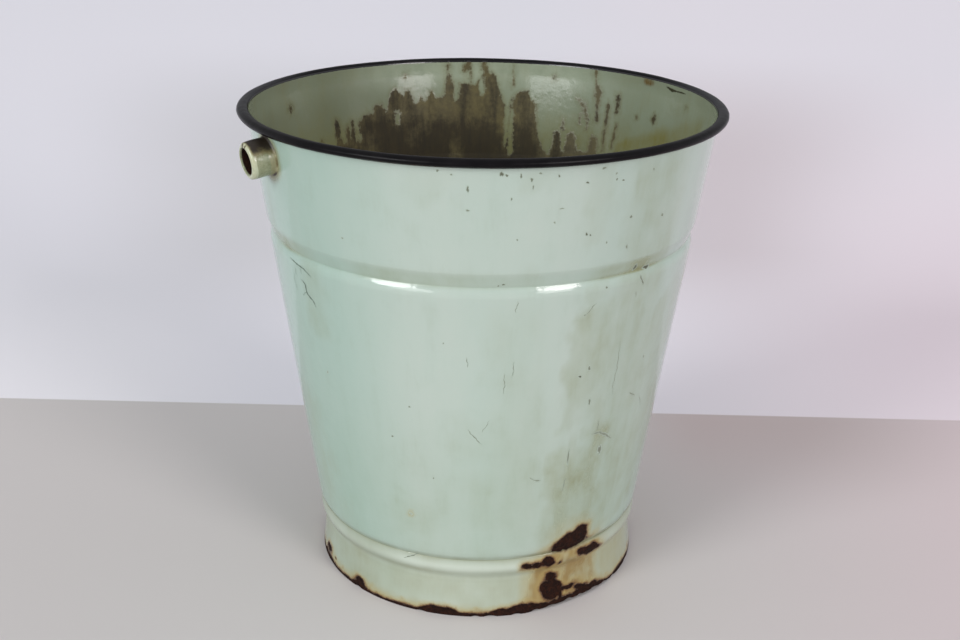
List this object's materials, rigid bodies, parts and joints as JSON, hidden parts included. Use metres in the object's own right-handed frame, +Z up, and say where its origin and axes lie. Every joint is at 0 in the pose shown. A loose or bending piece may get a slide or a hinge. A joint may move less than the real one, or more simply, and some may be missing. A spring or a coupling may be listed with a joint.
{
  "type": "enamelled steel pail",
  "caption": "Tapered enamelled sheet-steel pail with a rolled black rim, a pressed ring, a separate foot ring and short socket ears for a bail; worn, stained and rusted, bail missing.",
  "frame": {"origin": "on the floor, under the centre of the pail's axis", "axes": "+Z up along the pail's axis, X through the two ears"},
  "size_m": [0.304, 0.29, 0.2925],
  "materials": {
    "enamel_body": "gloss pale mint vitreous enamel over steel, black enamel on the rolled rim, brown rust where chipped, brown stain inside",
    "enamel_foot": "gloss pale mint vitreous enamel over steel, rusted along the lower edge",
    "enamel_ear": "stained cream-green vitreous enamel over steel, rust at the wall and in the mouth"
  },
  "bodies": {
    "root": {"body": "enamel_body", "foot_ring": "enamel_foot", "ear_left": "enamel_ear", "ear_right": "enamel_ear"}
  },
  "joints": []
}
